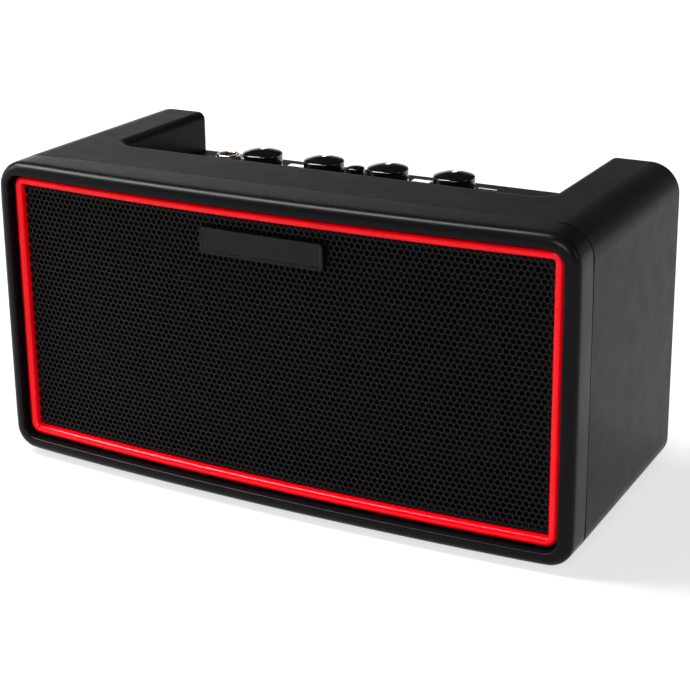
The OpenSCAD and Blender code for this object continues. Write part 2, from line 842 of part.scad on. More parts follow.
module button_plunger() color("#e8e4da") translate([button_x, row_y, plunger_z])
    cylinder(h = button_flange_z - touch - plunger_z, r = plunger_r);

module tact_switch() color("#2e2e30") translate([button_x, row_y, board_top]) difference() {
    translate([-tact_w / 2, -tact_w / 2, 0]) cube([tact_w, tact_w, tact_h]);
    translate([0, 0, 1]) cylinder(h = tact_h, r = plunger_r + shaft_play);
}

module input_jack() color("#222224") translate([jack_x, jack_y, 0]) difference() {
    union() {
        translate([-jack_w / 2, -jack_d / 2, panel_bottom - jack_l]) cube([jack_w, jack_d, jack_l]);
        translate([0, 0, panel_bottom - e]) cylinder(h = panel_t + jack_bush_h + e, r = jack_bush_r);
    }
    translate([0, 0, panel_bottom - jack_l + jack_floor])
        cylinder(h = jack_l + panel_t + jack_bush_h, r = jack_bore_r);
}

module jack_washer() color("#c9cbce") translate([jack_x, jack_y, panel_z]) difference() {
    cylinder(h = jack_washer_t, r = jack_nut_w / 2 + 1);
    translate([0, 0, -e]) cylinder(h = jack_washer_t + 2 * e, r = jack_bush_r + touch);
}

module jack_nut() color("#d4d6d9") translate([jack_x, jack_y, panel_z + jack_washer_t])
    nut(jack_nut_w, jack_nut_h, jack_bush_r + touch);

// ---- Rear panel, its sockets and the main board ----

module rear_panel() color("#1c1c1e") difference() {
    union() {
        along_y(rear_in, rear_out) rear_outline(-seat);
        for (p = main_post_places) pin_y(p, 3, main_y, rear_in + e);
    }
    for (p = rear_screw_places) pin_y(p, screw_hole_r + seat, rear_in - e, rear_out + e);
    for (p = main_post_places) pin_y(p, screw_hole_r, main_y - e, rear_in);
    pin_y([port_x, rear_mid_z], port_r + port_wall + touch, rear_in - e, rear_out + e);
    for (x = [aux_x, phones_x]) pin_y([x, socket_z], mini_bush_r + 0.1, rear_in - e, rear_out + e);
    along_y(rear_in - e, rear_out + e) {
        translate([usb_x, socket_z]) plate_outline(usb_w + 0.2, usb_h + 0.2, usb_h / 2 - 0.1);
        translate([rocker_x, rocker_z]) square(rocker_shell(0.1), center = true);
    }
}

module rear_screws() color("#3a3a3c") for (p = rear_screw_places)
    translate([p[0], rear_out + touch, p[1]]) rotate([-90, 0, 0]) screw(rear_t + ledge_t + boss_l / 2 - 1);

module bass_port() color("#151516") difference() {
    union() {
        pin_y([port_x, rear_mid_z], port_r + port_wall, rear_in - port_l, rear_out + touch);
        pin_y([port_x, rear_mid_z], port_r + port_wall + port_flange,
            rear_out + touch, rear_out + port_flange_t);
    }
    pin_y([port_x, rear_mid_z], port_r, rear_in - port_l - e, back_y);
}

module main_board() color("#14532d") difference() {
    along_y(main_y - board_t, main_y) translate([main_x, main_z]) plate_outline(board_w, board_h, small_r);
    for (p = main_post_places) pin_y(p, screw_hole_r, main_y - board_t - e, main_y + e);
}

module main_board_screws() color("#3a3a3c") for (p = main_post_places)
    translate([p[0], main_y - board_t - touch, p[1]]) rotate([90, 0, 0]) screw(board_t + board_gap - 2);

module capacitors() color("#24324a") for (i = [0:2])
    pin_y([main_x + board_w / 2 - cap_side - i * cap_pitch, main_z + board_h / 2 - cap_drop], cap_r,
        main_y - board_t - cap_h, main_y - board_t);

// Heat sink: a base plate with upright fins
module heat_sink() color("#9fa3a8")
    translate([main_x + sink_x, main_y - board_t - sink_t, main_z - board_h / 2 + sink_rise]) {
        cube([sink_w, sink_t, sink_h]);
        for (i = [0:fins - 1]) translate([i * (sink_w - fin_t) / (fins - 1), -fin_h, 0])
            cube([fin_t, fin_h + e, sink_h]);
    }

module usb_socket() color("#a9acb0") difference() {
    along_y(main_y, rear_out - seat) translate([usb_x, socket_z])
        plate_outline(usb_w, usb_h, usb_h / 2 - 0.1);
    difference() {
        along_y(rear_out - usb_l, rear_out + e) translate([usb_x, socket_z])
            plate_outline(usb_w - 2 * usb_wall, usb_h - 2 * usb_wall, usb_h / 2 - usb_wall - 0.1);
        translate([usb_x - usb_w / 2 + tongue_in, rear_out - usb_l - e, socket_z - tongue_t / 2])
            cube([usb_w - 2 * tongue_in, usb_l - tongue_back, tongue_t]);
    }
}

module mini_socket(x) color("#1f1f21") difference() {
    union() {
        translate([x - mini_w / 2, main_y, socket_z - mini_h / 2])
            cube([mini_w, board_gap - mini_play, mini_h]);
        pin_y([x, socket_z], mini_bush_r, rear_in - 1, rear_out - seat);
    }
    pin_y([x, socket_z], mini_bore_r, rear_out - seat - mini_l, rear_out + e);
}

// Width and height of the rocker housing's shell, grown by a clearance
function rocker_shell(grow) = [rocker_w, rocker_l] + 2 * (rocker_play + rocker_wall + grow) * [1, 1];

module rocker_housing() color("#1a1a1c") {
    cavity = rocker_shell(-rocker_wall);
    shell = rocker_shell(0);
    axis = [rocker_x, rocker_axis_y, rocker_z];
    difference() {
        union() {
            along_y(rear_out - rocker_housing_l, rear_out + touch) translate([rocker_x, rocker_z])
                square(shell, center = true);
            along_y(rear_out + touch, rear_out + rocker_flange_t) translate([rocker_x, rocker_z])
                plate_outline(shell[0] + 2, shell[1] + 2, small_r);
        }
        along_y(rocker_axis_y - rocker_depth, back_y) translate([rocker_x, rocker_z])
            square(cavity, center = true);
        translate(axis) rotate([0, 90, 0])
            cylinder(h = rocker_w + 2 * rocker_wall, r = rocker_pin_r + touch, center = true);
    }
}

// Rocker cap: two flats that meet over the hinge, with a pin at each side
module power_rocker() color("#101012") translate([rocker_x, rocker_axis_y, rocker_z]) {
    half = rocker_l / 2;
    rotate([90, 0, 90]) {
        translate([0, 0, -rocker_w / 2]) linear_extrude(rocker_w) {
            polygon([[-1.2, -half + 1], [1.4, -half], [0.8, 0], [1.4, half], [-1.2, half - 1]]);
            circle(2);
        }
        cylinder(h = rocker_w + rocker_wall, r = rocker_pin_r, center = true);
    }
}

// ---- Battery ----

module battery_tray() color("#26262a") difference() {
    translate([-tray_l / 2, tray_y, tray_z]) cube([tray_l, tray_d, tray_h]);
    for (i = [0, 1]) translate([-cell_l / 2 - touch, cell_y + i * cell_pitch, cell_z]) rotate([0, 90, 0])
        cylinder(h = cell_l + 2 * touch, r = cell_r + touch);
}

module battery_cells() color("#2d6fb3") for (i = [0, 1])
    translate([-cell_l / 2, cell_y + i * cell_pitch, cell_z]) rotate([0, 90, 0])
        cylinder(h = cell_l, r = cell_r);

// ---- Nodes ----

cabinet_shell();
front_bezel();
trim_ring();
grille();
badge_plate();
baffle();
baffle_screws();
speaker_gaskets();
speaker_frame(-1);  // speaker_frame_left
speaker_frame(1);  // speaker_frame_right
speaker_cone(-1);  // speaker_cone_left
speaker_cone(1);  // speaker_cone_right
speaker_magnet(-1);  // speaker_magnet_left
speaker_magnet(1);  // speaker_magnet_right
speaker_screws();
speaker_leads();
feet();
control_panel();
control_board();
control_board_screws();
potentiometers();
potentiometer_nuts();
knob(0);  // knob_gain
knob(1);  // knob_tone
knob(2);  // knob_effect
knob(3);  // knob_volume
shaft(0);  // shaft_gain
shaft(1);  // shaft_tone
shaft(2);  // shaft_effect
shaft(3);  // shaft_volume
select_button();
button_plunger();
tact_switch();
input_jack();
jack_washer();
jack_nut();
rear_panel();
rear_screws();
bass_port();
main_board();
main_board_screws();
capacitors();
heat_sink();
usb_socket();
mini_socket(aux_x);  // aux_socket
mini_socket(phones_x);  // phones_socket
power_rocker();
rocker_housing();
battery_tray();
battery_cells();
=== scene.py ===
import math

import bmesh
import bpy
from mathutils import Matrix, Vector


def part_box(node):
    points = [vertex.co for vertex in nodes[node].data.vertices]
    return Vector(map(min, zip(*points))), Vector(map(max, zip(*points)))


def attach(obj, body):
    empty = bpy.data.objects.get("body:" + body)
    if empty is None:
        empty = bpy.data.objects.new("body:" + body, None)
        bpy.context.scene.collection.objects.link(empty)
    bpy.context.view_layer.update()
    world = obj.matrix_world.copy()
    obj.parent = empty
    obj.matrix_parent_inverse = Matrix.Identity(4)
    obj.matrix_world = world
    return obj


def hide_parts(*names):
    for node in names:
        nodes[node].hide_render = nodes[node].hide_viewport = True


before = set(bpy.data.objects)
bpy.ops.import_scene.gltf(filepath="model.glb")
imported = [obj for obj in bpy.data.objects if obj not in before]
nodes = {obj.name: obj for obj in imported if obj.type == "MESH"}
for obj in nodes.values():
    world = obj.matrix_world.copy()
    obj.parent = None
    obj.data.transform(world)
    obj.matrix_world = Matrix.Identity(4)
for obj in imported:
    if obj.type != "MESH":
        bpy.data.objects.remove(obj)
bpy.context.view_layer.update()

mm = 0.001


# ---- Cabinet shell ----
# One injection moulding in black plastic with a fine satin grain, open at the front and cut away
# at the rear of its top. It carries the baffle, the rear panel and the sunk control panel.

def new_finish(name):
    """A new material, its shader, and a function that adds a node to it."""
    finish = bpy.data.materials.new(name)
    finish.use_nodes = True
    tree = finish.node_tree
    shader = tree.nodes["Principled BSDF"]

    def add(kind, inputs=(), **settings):
        made = tree.nodes.new(kind)
        for key, value in settings.items():
            setattr(made, key, value)
        for key, value in dict(inputs).items():
            if isinstance(value, bpy.types.NodeSocket):
                tree.links.new(value, made.inputs[key])
            else:
                made.inputs[key].default_value = value
        return made

    return finish, shader, add


def mottle(add, place, size, low=0.0, high=1.0, detail=3.0):
    """A soft cloudy number between low and high, with clouds of the given size in metres."""
    cloud = add("ShaderNodeTexNoise", {"Vector": place, "Scale": 1 / size, "Detail": detail})
    return add("ShaderNodeMapRange", {"Value": cloud.outputs["Fac"], "From Min": 0.3, "From Max": 0.7,
                                      "To Min": low, "To Max": high}).outputs["Result"]


def tinted(add, amount, dark, light):
    """A colour between two others."""
    mix = add("ShaderNodeMix", {"Factor": amount}, data_type="RGBA")
    mix.inputs["A"].default_value = (*dark, 1)
    mix.inputs["B"].default_value = (*light, 1)
    return mix.outputs["Result"]


def shades(colour, darker, lighter):
    """A darker and a lighter shade of a colour."""
    return [c * darker for c in colour], [min(c * lighter, 1.0) for c in colour]


def satin_plastic(name, colour, rough, grain=0.45 * mm, relief=0.25, edge=0.35 * mm, level=0.5):
    """Moulded plastic: fine eroded grain, faint cloudiness from the mould, softly rounded edges."""
    finish, shader, add = new_finish(name)
    place = add("ShaderNodeTexCoord").outputs["Object"]
    tree = finish.node_tree
    dark, light = shades(colour, 0.86, 1.16)
    tree.links.new(tinted(add, mottle(add, place, 28 * mm), dark, light), shader.inputs["Base Color"])
    tree.links.new(mottle(add, place, 9 * mm, rough - 0.03, rough + 0.03), shader.inputs["Roughness"])
    round_edge = add("ShaderNodeBevel", {"Radius": edge}, samples=4)
    pits = add("ShaderNodeTexNoise", {"Vector": place, "Scale": 1 / grain, "Detail": 2.0})
    bump = add("ShaderNodeBump", {"Height": pits.outputs["Fac"], "Strength": relief, "Distance": 0.02 * mm,
                                  "Normal": round_edge.outputs["Normal"]})
    tree.links.new(bump.outputs["Normal"], shader.inputs["Normal"])
    shader.inputs["Specular IOR Level"].default_value = level
    return finish


def finish_node(name, finish):
    """Gives a carried-over part its finish."""
    nodes[name].data.materials.clear()
    nodes[name].data.materials.append(finish)


shell_plastic = satin_plastic("shell plastic", (0.0042, 0.0041, 0.0050), 0.36, level=0.06)
finish_node("cabinet_shell", shell_plastic)


# ---- Front bezel ----
# A separate moulded frame with a full round lip, bowed forward in its middle. It butts against the
# shell at a fine seam, and its recess holds the bead and the grille.

sharp_angle = math.radians(32)
weld = 0.002 * mm


def smooth_form(node, name, levels):
    """A finer skin over a part's own form: sharp edges kept, the rest subdivided."""
    bm = bmesh.new()
    bm.from_mesh(nodes[node].data)
    bmesh.ops.remove_doubles(bm, verts=bm.verts, dist=weld)
    bmesh.ops.join_triangles(bm, faces=bm.faces, angle_face_threshold=math.radians(12),
                             angle_shape_threshold=math.radians(50))
    crease = bm.edges.layers.float.new("crease_edge")
    for edge in bm.edges:
        if edge.is_manifold and edge.calc_face_angle(0) > sharp_angle:
            edge[crease] = 1
            edge.smooth = False
    for face in bm.faces:
        face.smooth = True
        face.material_index = 0
    return finished_piece(bm, name, levels)


def finished_piece(bm, name, levels=0):
    """Turns a bmesh into an object of the scene."""
    mesh = bpy.data.meshes.new(name)
    bm.to_mesh(mesh)
    bm.free()
    piece = bpy.data.objects.new(name, mesh)
    bpy.context.scene.collection.objects.link(piece)
    if levels:
        subdivide = piece.modifiers.new("fine form", "SUBSURF")
        subdivide.levels = levels
        subdivide.render_levels = levels
    return piece


def fit_piece(piece, body, slot, finish, *replaced):
    """Fastens a finished piece to its body and gives it its finish."""
    piece.data.materials.clear()
    piece.data.materials.append(finish)
    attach(piece, body)
    if replaced:
        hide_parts(*replaced)


bezel = smooth_form("front_bezel", "bezel_moulding", 2)
bezel_plastic = satin_plastic("bezel plastic", (0.0034, 0.0033, 0.0041), 0.27, relief=0.12, edge=0.2 * mm,
                              level=0.08)
fit_piece(bezel, "cabinet", "bezel_plastic", bezel_plastic, "front_bezel")


# ---- Trim bead ----
# A half-round bead in bright red gloss plastic, bowed like the bezel. It is pressed into the bezel's
# recess round the grille.

def gloss_plastic(name, colour, rough, coat=1.0, level=0.5):
    """Polished plastic with a clear lacquer-like skin and faint waviness."""
    finish, shader, add = new_finish(name)
    tree = finish.node_tree
    place = add("ShaderNodeTexCoord").outputs["Object"]
    dark, light = shades(colour, 0.9, 1.08)
    tree.links.new(tinted(add, mottle(add, place, 14 * mm), dark, light), shader.inputs["Base Color"])
    tree.links.new(mottle(add, place, 6 * mm, rough - 0.02, rough + 0.03), shader.inputs["Roughness"])
    wave = add("ShaderNodeTexNoise", {"Vector": place, "Scale": 1 / (3 * mm), "Detail": 1.0})
    bump = add("ShaderNodeBump", {"Height": wave.outputs["Fac"], "Strength": 0.12, "Distance": 0.02 * mm})
    tree.links.new(bump.outputs["Normal"], shader.inputs["Normal"])
    shader.inputs["Specular IOR Level"].default_value = level
    shader.inputs["Coat Weight"].default_value = coat
    shader.inputs["Coat Roughness"].default_value = 0.12
    return finish


bead = smooth_form("trim_ring", "red_bead", 2)
red_gloss = gloss_plastic("red gloss", (0.93, 0.0003, 0.006), 0.22, coat=0.15, level=0.15)
fit_piece(bead, "cabinet", "red_gloss", red_gloss, "trim_ring")


# ---- Grille ----
# Thin steel sheet with staggered round holes, rolled to the front's bow and powder coated black.
# Its edge lies on the bezel's flange behind the bead.

hole_pitch = 2.25 * mm
hole_radius = 0.95 * mm
hole_sides = 7
corner_cut = 0.6 * mm
sheet_thickness = 0.5 * mm
row_pitch = hole_pitch * math.sqrt(3) / 2
grille_low, grille_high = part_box("grille")
half_width = grille_high.x
middle_z = (grille_low.z + grille_high.z) / 2
solid_thickness = 1.0 * mm
sag = grille_high.y - grille_low.y - solid_thickness
bow_radius = (half_width ** 2 + sag ** 2) / (2 * sag)


def bow_at(x):
    """Setback of the bowed front at a place across the width."""
    return bow_radius - math.sqrt(bow_radius ** 2 - x ** 2)


def whole(bm):
    """All the geometry of a bmesh."""
    return bm.verts[:] + bm.edges[:] + bm.faces[:]


def copy_along(bm, step, count):
    """Repeats all that is in the bmesh along a step."""
    parts = whole(bm)
    for i in range(1, count):
        made = bmesh.ops.duplicate(bm, geom=parts)
        moved = [g for g in made["geom"] if isinstance(g, bmesh.types.BMVert)]
        bmesh.ops.translate(bm, verts=moved, vec=step * i)


bm = bmesh.new()
bmesh.ops.create_circle(bm, segments=6, radius=hole_pitch / math.sqrt(3))
bmesh.ops.create_circle(bm, segments=hole_sides, radius=hole_radius)
bmesh.ops.triangle_fill(bm, use_beauty=True, edges=bm.edges, normal=(0, 0, 1))
columns = math.ceil(2 * half_width / hole_pitch) + 2
rows = math.ceil((grille_high.z - grille_low.z) / row_pitch) + 2
copy_along(bm, Vector((hole_pitch, 0, 0)), columns)
copy_along(bm, Vector((hole_pitch / 2, row_pitch, 0)), 2)
copy_along(bm, Vector((0, 2 * row_pitch, 0)), rows // 2 + 1)
bmesh.ops.remove_doubles(bm, verts=bm.verts, dist=0.01 * mm)
to_middle = (-hole_pitch * (columns - 0.5) / 2, -row_pitch * (rows - 1) / 2, 0)
bmesh.ops.translate(bm, verts=bm.verts, vec=to_middle)
bmesh.ops.rotate(bm, verts=bm.verts, cent=(0, 0, 0), matrix=Matrix.Rotation(math.radians(90), 3, "X"))
bmesh.ops.translate(bm, verts=bm.verts, vec=(0, 0, middle_z))
edge_cuts = [((half_width, 0, 0), (1, 0, 0)), ((-half_width, 0, 0), (-1, 0, 0)),
             ((0, 0, grille_high.z), (0, 0, 1)), ((0, 0, grille_low.z), (0, 0, -1))]
for side in (-1, 1):
    for corner_z, way in ((grille_high.z, 1), (grille_low.z, -1)):
        edge_cuts.append(((side * (half_width - corner_cut), 0, corner_z), (side, 0, way)))
for point, normal in edge_cuts:
    bmesh.ops.bisect_plane(bm, geom=whole(bm), dist=0.001 * mm, plane_co=point,
                           plane_no=normal, clear_outer=True)
for vert in bm.verts:
    vert.co.y = grille_low.y + bow_at(vert.co.x)
for face in bm.faces:
    if face.normal.y > 0:
        face.normal_flip()
grille = finished_piece(bm, "perforated_sheet")
thicken = grille.modifiers.new("sheet", "SOLIDIFY")
thicken.thickness = sheet_thickness
thicken.offset = -1


def powder_coat(name, colour, rough, grain=0.25 * mm, level=0.5, edge=0.12 * mm):
    """Baked powder coat: pebbly at a fine scale, a little uneven in gloss, thick on the edges."""
    finish, shader, add = new_finish(name)
    tree = finish.node_tree
    place = add("ShaderNodeTexCoord").outputs["Object"]
    dark, light = shades(colour, 0.8, 1.25)
    tree.links.new(tinted(add, mottle(add, place, 5 * mm), dark, light), shader.inputs["Base Color"])
    tree.links.new(mottle(add, place, 3 * mm, rough - 0.04, rough + 0.05), shader.inputs["Roughness"])
    round_edge = add("ShaderNodeBevel", {"Radius": edge}, samples=4)
    pebble = add("ShaderNodeTexNoise", {"Vector": place, "Scale": 1 / grain, "Detail": 3.0})
    bump = add("ShaderNodeBump", {"Height": pebble.outputs["Fac"], "Strength": 0.3, "Distance": 0.02 * mm,
                                  "Normal": round_edge.outputs["Normal"]})
    tree.links.new(bump.outputs["Normal"], shader.inputs["Normal"])
    shader.inputs["Specular IOR Level"].default_value = level
    return finish


grille_coat = powder_coat("grille coat", (0.0020, 0.0020, 0.0023), 0.26, level=0.12, edge=0.25 * mm)
fit_piece(grille, "cabinet", "grille_metal", grille_coat, "grille")


# ---- Badge plate ----
# A small bare plate at the top of the grille. It is a gloss black moulding with a raised rim round
# a flat field.

badge_low, badge_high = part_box("badge_plate")
rim_width = 0.9 * mm
rim_depth = 0.3 * mm
badge_corner = 1.4 * mm
badge_edge = 0.18 * mm
bm = bmesh.new()
bmesh.ops.create_cube(bm, size=1)
bmesh.ops.scale(bm, verts=bm.verts, vec=badge_high - badge_low)
bmesh.ops.translate(bm, verts=bm.verts, vec=(badge_low + badge_high) / 2)
upright = [e for e in bm.edges if abs(e.verts[0].co.y - e.verts[1].co.y) > rim_depth]
bmesh.ops.bevel(bm, geom=upright, offset=badge_corner, offset_type="OFFSET", affect="EDGES",
                segments=6, profile=0.5, material=-1, clamp_overlap=True)
front_face = min(bm.faces, key=lambda f: f.calc_center_median().y)
bmesh.ops.inset_region(bm, faces=[front_face], thickness=rim_width, depth=0)
bmesh.ops.inset_region(bm, faces=[front_face], thickness=rim_depth, depth=-rim_depth)
soft = [e for e in bm.edges if e.is_manifold and e.calc_face_angle(0) > math.radians(40)
        and max(v.co.y for v in e.verts) < badge_high.y - rim_depth]
bmesh.ops.bevel(bm, geom=soft, offset=badge_edge, offset_type="OFFSET", affect="EDGES",
                segments=3, profile=0.5, material=-1, clamp_overlap=True)
bmesh.ops.dissolve_degenerate(bm, dist=2 * weld, edges=bm.edges)
for face in bm.faces:
    face.smooth = False
badge = finished_piece(bm, "badge_blank")
badge_black = gloss_plastic("badge black", (0.004, 0.004, 0.0048), 0.2, coat=0.15, level=0.08)
fit_piece(badge, "cabinet", "badge_black", badge_black, "badge_plate")


# ---- Baffle and speakers ----
# A painted board closes the shell behind the bezel. Two small full-range speakers sit on foam
# gaskets in it, each with a pressed basket, a paper cone with a rubber roll, and a ring magnet.

def rough_matter(name, colour, rough, grain, relief, depth, spread=0.25, level=0.05):
    """Dull stuff such as board, foam, paper or rubber, with its own grain size."""
    finish, shader, add = new_finish(name)
    tree = finish.node_tree
    place = add("ShaderNodeTexCoord").outputs["Object"]
    dark, light = shades(colour, 1 - spread, 1 + spread)
    cloud = mottle(add, place, grain * 6, detail=6.0)
    tree.links.new(tinted(add, cloud, dark, light), shader.inputs["Base Color"])
    tree.links.new(mottle(add, place, grain * 3, rough - 0.05, rough + 0.05), shader.inputs["Roughness"])
    tooth = add("ShaderNodeTexNoise", {"Vector": place, "Scale": 1 / grain, "Detail": 4.0})
    bump = add("ShaderNodeBump", {"Height": tooth.outputs["Fac"], "Strength": relief, "Distance": depth})
    tree.links.new(bump.outputs["Normal"], shader.inputs["Normal"])
    shader.inputs["Specular IOR Level"].default_value = level
    return finish


def bare_metal(name, colour, rough, brushed=0.0):
    """Plated or bare metal: faint stains in its gloss and fine drawn lines where it is brushed."""
    finish, shader, add = new_finish(name)
    tree = finish.node_tree
    place = add("ShaderNodeTexCoord").outputs["Object"]
    dark, light = shades(colour, 0.88, 1.0)
    tree.links.new(tinted(add, mottle(add, place, 4 * mm), dark, light), shader.inputs["Base Color"])
    stain = mottle(add, place, 1.5 * mm, rough - 0.03, rough + 0.04)
    tree.links.new(stain, shader.inputs["Roughness"])
    stretched = add("ShaderNodeMapping", {"Vector": place, "Scale": (1, 1, 12)})
    lines = add("ShaderNodeTexNoise", {"Vector": stretched.outputs["Vector"], "Scale": 1 / (0.6 * mm),
                                       "Detail": 2.0})
    round_edge = add("ShaderNodeBevel", {"Radius": 0.15 * mm}, samples=4)
    bump = add("ShaderNodeBump", {"Height": lines.outputs["Fac"], "Strength": 0.05 + brushed,
                                  "Distance": 0.01 * mm, "Normal": round_edge.outputs["Normal"]})
    tree.links.new(bump.outputs["Normal"], shader.inputs["Normal"])
    shader.inputs["Metallic"].default_value = 1.0
    return finish


black_zinc = bare_metal("black zinc", (0.05, 0.05, 0.052), 0.4)
# The board, gaskets, baskets and cones are black, and they are coloured blacker still as painted shade of
# the dark inside the cabinet behind the grille.
board_paint_and_shade = rough_matter("painted board", (0.002, 0.0019, 0.0018), 0.8, 0.8 * mm, 0.4, 0.1 * mm)
gasket_foam_and_shade = rough_matter("gasket foam", (0.002, 0.002, 0.002), 0.9, 0.5 * mm, 0.8, 0.2 * mm)
basket_paint_and_shade = powder_coat("basket paint", (0.003, 0.003, 0.0033), 0.6, level=0.04)
cone_paper_and_shade = rough_matter("cone paper", (0.0025, 0.0025, 0.0027), 0.8, 0.7 * mm, 0.5, 0.1 * mm)
magnet_zinc = bare_metal("zinc plating", (0.55, 0.56, 0.58), 0.3)
finish_node("baffle", board_paint_and_shade)
finish_node("baffle_screws", black_zinc)
finish_node("speaker_gaskets", gasket_foam_and_shade)
for side_name in ("left", "right"):
    finish_node("speaker_frame_" + side_name, basket_paint_and_shade)
    finish_node("speaker_cone_" + side_name, cone_paper_and_shade)
    finish_node("speaker_magnet_" + side_name, magnet_zinc)
# The speaker screws take the baskets' dark paint instead of their steel, as painted shade that keeps them
# dark behind the grille.
finish_node("speaker_screws", basket_paint_and_shade)
finish_node("speaker_leads", satin_plastic("lead insulation", (0.45, 0.02, 0.02), 0.4, edge=0.05 * mm))


# ---- Feet ----
# Four round rubber pads with a rounded edge. They are glued into shallow seats in the cabinet's
# bottom.

def lathe(bm, profile, centre=(0, 0, 0), steps=64):
    """Spins an outline of [radius, height] pairs about an upright axis through a centre."""
    verts = [bm.verts.new((centre[0] + r, centre[1], centre[2] + z)) for r, z in profile]
    edges = [bm.edges.new(pair) for pair in zip(verts, verts[1:])]
    bmesh.ops.spin(bm, geom=verts + edges, cent=centre, axis=(0, 0, 1), angle=math.tau, steps=steps,
                   use_merge=True)


def rounded(profile, radius, steps=4):
    """The outline with each inner corner replaced by an arc of about the given radius."""
    out = [Vector(profile[0])]
    for a, b, c in zip(profile, profile[1:], profile[2:]):
        a, b, c = Vector(a), Vector(b), Vector(c)
        cut = min(radius, (a - b).length / 2.1, (c - b).length / 2.1)
        start = b + (a - b).normalized() * cut
        end = b + (c - b).normalized() * cut
        for i in range(steps + 1):
            t = i / steps
            out.append(start * (1 - t) ** 2 + b * (2 * t * (1 - t)) + end * t ** 2)
    out.append(Vector(profile[-1]))
    return out


def turned_piece(bm, name):
    """Closes and smooths a turned piece."""
    bmesh.ops.remove_doubles(bm, verts=bm.verts, dist=weld)
    bmesh.ops.recalc_face_normals(bm, faces=bm.faces)
    for edge in bm.edges:
        edge.smooth = edge.calc_face_angle(0) < sharp_angle
    for face in bm.faces:
        face.smooth = True
    return finished_piece(bm, name)


feet_low, feet_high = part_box("feet")
foot_radius = 7 * mm
foot_edge = 0.6 * mm
bm = bmesh.new()
for x in (feet_low.x + foot_radius, feet_high.x - foot_radius):
    for y in (feet_low.y + foot_radius, feet_high.y - foot_radius):
        outline = rounded([(0, feet_low.z), (foot_radius, feet_low.z), (foot_radius, feet_high.z),
                           (0, feet_high.z)], foot_edge)
        lathe(bm, outline, Vector((x, y, 0)))
feet = turned_piece(bm, "rubber_feet")
foot_rubber = rough_matter("foot rubber", (0.012, 0.012, 0.012), 0.8, 0.4 * mm, 0.3, 0.05 * mm)
fit_piece(feet, "cabinet", "foot_rubber", foot_rubber, "feet")


# ---- Control panel ----
# A moulded plate sunk in the cut-out, with the same satin grain as the shell. It is printed in white
# ink, with ticks round each knob and a blank patch or a line to the right of three of them.

finish_node("control_panel", satin_plastic("panel plastic", (0.0042, 0.0041, 0.005), 0.42, level=0.08))
panel_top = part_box("control_panel")[1].z
knob_names = ("gain", "tone", "effect", "volume")
tick_count = 11
tick_sweep = math.radians(300)
tick_inner = 8.9 * mm
tick_outer = 9.9 * mm
short_by = 0.3 * mm
tick_width = 0.3 * mm
long_tick_every = 5
ink_height = 0.04 * mm
label_side = 6.8 * mm
label_back = 15.6 * mm
label_length = 7.6 * mm
label_width = 3.4 * mm
line_width = 0.7 * mm


def middle_of(low, high, z=0.0):
    """The middle of a box seen from above, at a given height."""
    return Vector(((low.x + high.x) / 2, (low.y + high.y) / 2, z))


def printed_bar(bm, start, end, width):
    """A thin printed bar between two places on the panel."""
    made = bmesh.ops.create_cube(bm, size=1)["verts"]
    way = end - start
    bmesh.ops.scale(bm, verts=made, vec=(way.length, width, ink_height))
    turn = Matrix.Rotation(math.atan2(way.y, way.x), 3, "Z")
    bmesh.ops.rotate(bm, verts=made, cent=(0, 0, 0), matrix=turn)
    bmesh.ops.translate(bm, verts=made, vec=(start + end) / 2)


ink_middle = panel_top + ink_height / 2
bm = bmesh.new()
for knob_name in knob_names:
    middle = middle_of(*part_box("knob_" + knob_name), ink_middle)
    for i in range(tick_count):
        turn = tick_sweep * (i / (tick_count - 1) - 0.5)
        out = Vector((math.sin(turn), math.cos(turn), 0))
        reach = tick_outer if i % long_tick_every == 0 else tick_outer - short_by
        printed_bar(bm, middle + out * tick_inner, middle + out * reach, tick_width)
for knob_name, width in (("gain", label_width), ("effect", label_width), ("volume", line_width)):
    low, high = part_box("knob_" + knob_name)
    label = Vector(((low.x + high.x) / 2 + label_side, (low.y + high.y) / 2 + label_back, ink_middle))
    half_label = Vector((label_length / 2, 0, 0))
    printed_bar(bm, label - half_label, label + half_label, width)
print_marks = finished_piece(bm, "printed_ticks")
white_ink = rough_matter("white ink", (0.5, 0.52, 0.56), 0.6, 0.2 * mm, 0.2, 0.01 * mm, 0.06)
fit_piece(print_marks, "cabinet", "panel_black", white_ink)


# ---- Controls under the panel ----
# A board on four posts carries the potentiometers and the tact switch. Each bush comes up through
# the panel and is held by a thin hexagon nut under its knob.

solder_mask = satin_plastic("solder mask", (0.01, 0.09, 0.035), 0.35, grain=0.3 * mm, edge=0.1 * mm)
tinned_steel = bare_metal("tinned steel", (0.6, 0.61, 0.62), 0.28, 0.1)
switch_plastic = satin_plastic("switch plastic", (0.02, 0.02, 0.021), 0.4, edge=0.15 * mm)
finish_node("control_board", solder_mask)
finish_node("control_board_screws", black_zinc)
finish_node("potentiometers", tinned_steel)
finish_node("potentiometer_nuts", tinned_steel)
finish_node("tact_switch", switch_plastic)
finish_node("button_plunger", satin_plastic("natural nylon", (0.7, 0.68, 0.6), 0.45, edge=0.1 * mm))
for knob_name in knob_names:
    finish_node("shaft_" + knob_name, tinned_steel)


# ---- Knobs ----
# Four black knobs with a straight polished side, a crisp rim and a low domed top, pushed on to
# their shafts. A white pointer is let into each top, from its middle to near its rim.

dome_height = 1.45 * mm
rim_round = 0.35 * mm
rim_drop = 0.3 * mm
hollow_radius = 6.2 * mm
hollow_depth = 2.7 * mm
pointer_width = 1.6 * mm
pointer_start = -0.6 * mm
pointer_end = 7.2 * mm
pointer_lift = 0.02 * mm
pointer_thickness = 0.08 * mm
knob_plastic = gloss_plastic("knob plastic", (0.0022, 0.0021, 0.0024), 0.16, coat=0.5, level=0.3)
pointer_ink = rough_matter("pointer ink", (0.85, 0.85, 0.84), 0.5, 0.2 * mm, 0.2, 0.01 * mm, 0.05)


